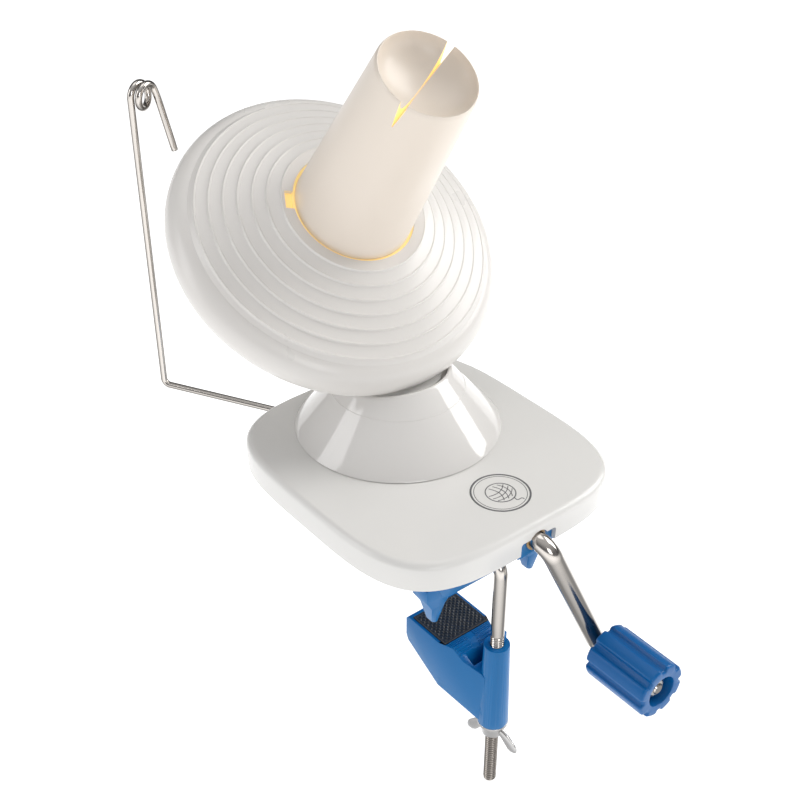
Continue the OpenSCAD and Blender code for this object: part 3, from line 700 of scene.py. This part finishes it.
def make_crank():
    half_bend = math.tan(math.radians(ARM_BEND / 2))
    off_a, off_b = BEND_A * half_bend, BEND_B * half_bend
    flat = bent([("go", ARM_Y - off_a - 12.5), ("bend", BEND_A, ARM_BEND), ("go", ARM_L - off_a - off_b),
                 ("bend", BEND_B, -ARM_BEND)], 0, 12.5)
    u, w = flat[-1]
    at_arm = CRANK @ turn("Z", ARM_ANGLE)
    rod = tube([(0, -a, b) for a, b in flat], ROD_R, 32, 0.4)
    tube([(0, -u, w - 0.8), (0, -u, w + 2), (0, -u, w + KNOB_L - 1)], PIN_R, 28, 0.5, rod)
    dress(to_object("crank_bar", rod, at_arm), NICKEL, "crank", ("crank_rod",), 34)
    return at_arm @ shift(0, -u, w + 0.6)


def knob_ring(inset, z):
    """One outline of the handle: eight broad lobes with stepped grooves between them."""
    half = math.degrees(math.asin(3.1 / KNOB_R))
    ring = []
    for lobe in range(KNOB_LOBES):
        for step in range(20):
            a = -22.5 + 45 * step / 20
            gap = abs(a) - half
            if gap <= 0:
                r = KNOB_R - 0.55 * max(0, 1 + gap / 3.2) ** 2 * (gap > -3.2)
            else:
                r = KNOB_CORE + (KNOB_R - 0.55 - KNOB_CORE) * max(0, 1 - gap / 2.4) ** 1.6
            ring.append(((r - inset) * cos(a + 45 * lobe), (r - inset) * sin(a + 45 * lobe), z))
    return ring


def make_knob(place):
    def circle(r, z):
        return [(r * cos(-22.5 + 45 * k / 20), r * sin(-22.5 + 45 * k / 20), z)
                for k in range(KNOB_LOBES * 20)]

    rings = [circle(PIN_R + 0.06, 0.0), circle(8.6, 0.0)]
    rings += [knob_ring(1.5 * (1 - cos(t)), 1.5 * (1 - sin(t))) for t in range(90, -1, -15)]
    rings += [knob_ring(0, z) for z in (8, 15.5, 23)]
    rings += [knob_ring(1.3 * (1 - cos(t)), KNOB_L - 1.3 * (1 - sin(t))) for t in range(0, 91, 15)]
    rings += [circle(7.6, KNOB_L), circle(7.15, KNOB_L - 0.12), circle(7.0, KNOB_L - 0.5),
              circle(7.0, KNOB_L - 4.8), circle(6.8, KNOB_L - 5), circle(PIN_R + 0.06, KNOB_L - 5)]
    bm = loft(rings, loop=True)
    dress(to_object("handle_grip", bm, place), BLUE_KNOB, "knob", ("handle_knob",), 40)
    z = KNOB_L - 4.7
    cap = lathe(soften([(PIN_R, z), (5.6, z), (5.6, z + 0.7), (4.5, z + 0.9), (4.2, z + 1.9),
                        (3.4, z + 2.4),
                        (PIN_R, z + 2.45)], 0.3, 3), 64)
    for a in range(0, 360, 60):
        join(cap, soft_block((4.7, -0.35, z + 0.6), (5.5, 0.35, z + 0.95), 0.1), turn("Z", a))
    dress(to_object("knob_retainer", cap, place), ZINC, "crank", ("knob_clip",), 30)


make_knob(make_crank())

# ---------------------------------------------------------------- yarn guide


def make_guide():
    flat = bent([("go", 5.5), ("bend", 3, -90), ("go", GUIDE_REACH - 6), ("bend", 3, -90),
                 ("go", GUIDE_RISE - 3)], 0, 8.5, 180)
    path = [Vector((abs(u), 0, w)) for u, w in flat]
    reach = path[-1].x
    for degrees in range(8, 505, 8):
        path.append(Vector((reach - COIL_PITCH * degrees / 360, -COIL_R + COIL_R * cos(degrees),
                            GUIDE_RISE + COIL_R * sin(degrees))))
    start = path[-1]
    tip = Vector((reach - COIL_PITCH * 1.5 - 6.55, -2 * COIL_R, GUIDE_RISE - 24.4))
    knee = Vector((reach - COIL_PITCH * 1.5 - 0.3, -2 * COIL_R + 0.1, GUIDE_RISE + 0.2))
    for k in range(1, 9):
        t = k / 8
        low = knee.lerp(tip, 0.22)
        path.append(start * (1 - t) ** 2 + knee * 2 * t * (1 - t) + low * t ** 2)
    low = path[-1]
    path += [low.lerp(tip, k / 5) for k in range(1, 6)]
    wire = tube(path, WIRE_R, 24, 0.3)
    dress(to_object("guide_bent_wire", wire, GUIDE), NICKEL, "guide",
          ("guide_leg", "guide_wire", "guide_eye"), 50)


make_guide()

# ---------------------------------------------------------------- clamp


def make_clamp_rod():
    """The bent rod with a cut thread up to the base."""
    rows = 8
    levels = [ROD_END + k / rows for k in range(int((THREAD_TOP - ROD_END) * rows))]
    path = [(0, 0, z) for z in levels]
    path += [(0, a, b) for a, b in bent([("go", LEG_Z - ROD_BEND - THREAD_TOP), ("bend", ROD_BEND, 90),
                                         ("go", 26)], 0, THREAD_TOP)]
    last = len(levels)

    def radius(i, angle):
        if i >= last:
            return CLAMP_R - 0.03
        z = levels[i]
        phase = (z / THREAD_PITCH - angle / 360) % 1
        depth = 0.5 * min(1, (z - ROD_END) / 1.5 + 0.3) * min(1, (last - i) / 12)
        ridge = abs(phase * 2 - 1)
        groove = depth * max(0, min(1, (ridge - 0.12) / 0.76))
        return CLAMP_R - 0.03 - groove - max(0, 0.8 - (z - ROD_END)) * 0.7

    bm = tube(path, radius, 32, 0.2)
    bar = to_object("clamp_bar", bm, CLAMP)
    dress(bar, NICKEL, "base", ("clamp_rod",), 60)
    bar.data.materials.append(THREAD_STEEL)
    bar.data.materials.append(THREAD_ROOT_PAINTED_SHADE)
    # the deepest groove faces take painted shade; the rest of the thread takes thread steel
    for face in bar.data.polygons:
        z = face.center.z / MM
        r = math.hypot(face.center.x / MM, face.center.y / MM + CLAMP_Y)
        if z < THREAD_TOP - 12:
            face.material_index = 2 if r < CLAMP_R - 0.33 and z > ROD_END + 1.2 else 1


def make_jaw():
    jaw = soft_copy("lower_jaw", "jaw_body", 0.55, 30)
    dress(jaw, BLUE_PLASTIC, "jaw", ("lower_jaw",), 40)
    trim = bmesh.new()
    # ridges between the pad and the boss, with a plain channel in the middle
    for k in range(7):
        y = -49.9 - 0.98 * k
        fall = max(0.0, -53.0 - y) * 1.1
        reach = 11.5 - 0.5 * max(0, k - 2)
        for x0, x1 in ((-reach, -1.9), (1.9, reach)):
            join(trim, soft_block((x0, y - 0.27, JAW_TOP - 0.6 - fall),
                                  (x1, y + 0.27, JAW_TOP + 1.45 - fall), 0.16))
    trims = to_object("jaw_ridges", trim)
    dress(trims, BLUE_PLASTIC, "jaw", (), 40)


def make_grip_pad():
    """The pad: a moulded mat of small diagonal pyramids."""
    bm = bmesh.new()
    across, along = 84, 74
    grid = []
    for j in range(along + 1):
        row = []
        for i in range(across + 1):
            x = -PAD_HALF_X + 2 * PAD_HALF_X * i / across
            y = PAD_NEAR + (PAD_FAR - PAD_NEAR) * j / along
            p = abs((((x + y) / PAD_PITCH) % 1) * 2 - 1)
            q = abs((((x - y) / PAD_PITCH) % 1) * 2 - 1)
            border = min(i, j, across - i, along - j)
            lift = 0.62 * (1 - max(p, q)) if border > 3 else 0.30
            row.append(bm.verts.new((x, y, PAD_TOP - 0.63 + lift - (0.25 if border == 0 else 0))))
        grid.append(row)
    for j in range(along):
        for i in range(across):
            bm.faces.new((grid[j][i], grid[j][i + 1], grid[j + 1][i + 1], grid[j + 1][i]))
    rim = grid[0] + [row[-1] for row in grid[1:]] + grid[-1][-2::-1] + [row[0] for row in grid[-2:0:-1]]
    floor = [bm.verts.new((v.co.x, v.co.y, PAD_TOP - 2.5)) for v in rim]
    bridge(bm, rim, floor)
    bm.faces.new(floor)
    dress(to_object("grip_mat", bm), RUBBER, "jaw", ("grip_pad",), 25)


def make_washer():
    bm = lathe(soften([(3.1, -69.3), (7, -69.3), (7, -68.02), (3.1, -68.02)], 0.25, 3, True), 72, True)
    dress(to_object("jaw_washer", bm, CLAMP), ZINC, "jaw", ("clamp_washer",), 34)


def make_wing_nut():
    profile = soften([(3.08, 0), (6.15, 0), (6.15, -1.1), (5.4, -1.6), (4.9, -6.1), (4.3, -6.5),
                      (3.08, -6.5)],
                     0.3, 3, True)
    bm = lathe(profile, 72, True)
    spine = [(3.6, -3.4, 2.0, 1.5), (5.6, -4.3, 2.2, 1.35), (7.6, -6.2, 2.45, 1.15),
             (9.4, -8.2, 2.7, 1.0),
             (10.9, -9.9, 2.8, 0.95), (12.1, -11.0, 2.3, 0.85), (12.9, -11.7, 1.3, 0.6),
             (13.2, -12.0, 0.4, 0.3)]
    for side in (0, 180):
        rings = []
        for i, (r, z, tall, thick) in enumerate(spine):
            ahead = spine[min(i + 1, len(spine) - 1)]
            behind = spine[max(i - 1, 0)]
            along = Vector((ahead[0] - behind[0], 0, ahead[1] - behind[1])).normalized()
            up = Vector((along.z, 0, -along.x))
            ring = []
            for k in range(24):
                offset = up * tall * cos(15 * k) + Vector((0, 1, 0)) * thick * sin(15 * k)
                ring.append(turn("Z", side) @ (Vector((r, 0, z)) + offset))
            rings.append(ring)
        loft(rings, bm=bm)
    place = CLAMP @ shift(0, 0, NUT_TOP) @ turn("Z", NUT_TURN)
    dress(to_object("wing_nut_cast", bm, place), ZINC, "nut", ("wing_nut",), 34)


make_clamp_rod()
make_jaw()
make_grip_pad()
make_washer()
make_wing_nut()

# ---------------------------------------------------------------- floor, light and camera
FLOOR, FLOOR_DROP = 30000, 1.2
floor_bm = bmesh.new()
floor_bm.faces.new([floor_bm.verts.new(p) for p in
                    ((-FLOOR, -FLOOR, 0), (FLOOR, -FLOOR, 0), (FLOOR, FLOOR, 0), (-FLOOR, FLOOR, 0))])
floor = to_object("studio_floor", floor_bm, shift(0, 0, ROD_END - FLOOR_DROP))
floor_paint = bpy.data.materials.new("studio_floor_white")
floor_paint.use_nodes = True
floor_shader = floor_paint.node_tree.nodes["Principled BSDF"]
floor_shader.inputs["Base Color"].default_value = (0.6, 0.6, 0.6, 1)
floor_shader.inputs["Roughness"].default_value = 0.9
floor_shader.inputs["Specular IOR Level"].default_value = 0.1
floor_shader.inputs["Emission Color"].default_value = (1, 1, 1, 1)
floor_shader.inputs["Emission Strength"].default_value = 0.80
floor.data.materials.append(floor_paint)


def softbox(name, at, aim, width, height, power, tint):
    lamp = bpy.data.lights.new(name, "AREA")
    lamp.shape = "RECTANGLE"
    lamp.size, lamp.size_y = width, height
    lamp.energy = power
    lamp.color = tint
    made = bpy.data.objects.new(name, lamp)
    made.location = at
    made.rotation_euler = (Vector(aim) - Vector(at)).to_track_quat("-Z", "Y").to_euler()
    bpy.context.scene.collection.objects.link(made)


SOFTBOXES = (
    ("left_softbox", (-1.05, 0.55, 0.55), (0, 0, 0.08), 0.5, 0.9, 3.4, (1, 1, 1)),
    ("top_softbox", (0.1, 0.2, 1.45), (0, 0, 0.08), 0.9, 0.9, 2.4, (1, 1, 1)),
    ("right_softbox", (1.0, -0.35, 0.75), (0, 0, 0.05), 0.7, 0.9, 9.6, (1.0, 0.995, 0.98)),
    ("front_softbox", (-0.45, -1.25, 0.5), (0, 0, 0.0), 0.5, 0.6, 3.0, (1, 1, 1)),
)
for softbox_facts in SOFTBOXES:
    softbox(*softbox_facts)

world = bpy.data.worlds.new("studio_world")
world.use_nodes = True
world_tree = world.node_tree
sky = world_tree.nodes["Background"]
direction = world_tree.nodes.new("ShaderNodeTexCoord")
split = world_tree.nodes.new("ShaderNodeSeparateXYZ")
ramp = world_tree.nodes.new("ShaderNodeValToRGB")
ramp.color_ramp.elements[0].position = 0.30
ramp.color_ramp.elements[0].color = (0.30, 0.30, 0.31, 1)
ramp.color_ramp.elements[1].position = 0.85
ramp.color_ramp.elements[1].color = (1.0, 1.0, 1.0, 1)
world_tree.links.new(direction.outputs["Generated"], split.inputs[0])
world_tree.links.new(split.outputs["Z"], ramp.inputs["Fac"])
world_tree.links.new(ramp.outputs["Color"], sky.inputs["Color"])
sky.inputs["Strength"].default_value = 0.50
bpy.context.scene.world = world

camera_data = bpy.data.cameras.new("product_camera")
camera_data.sensor_width = 36
camera_data.lens = 57.36
camera_data.clip_start = 0.01
camera = bpy.data.objects.new("product_camera", camera_data)
camera.location = (-0.28285, -0.35696, 0.36695)
camera.rotation_euler = Vector((0.5206, 0.6545, -0.5483)).to_track_quat("-Z", "Y").to_euler()
bpy.context.scene.collection.objects.link(camera)
bpy.context.scene.camera = camera
bpy.context.scene.view_settings.view_transform = "Standard"
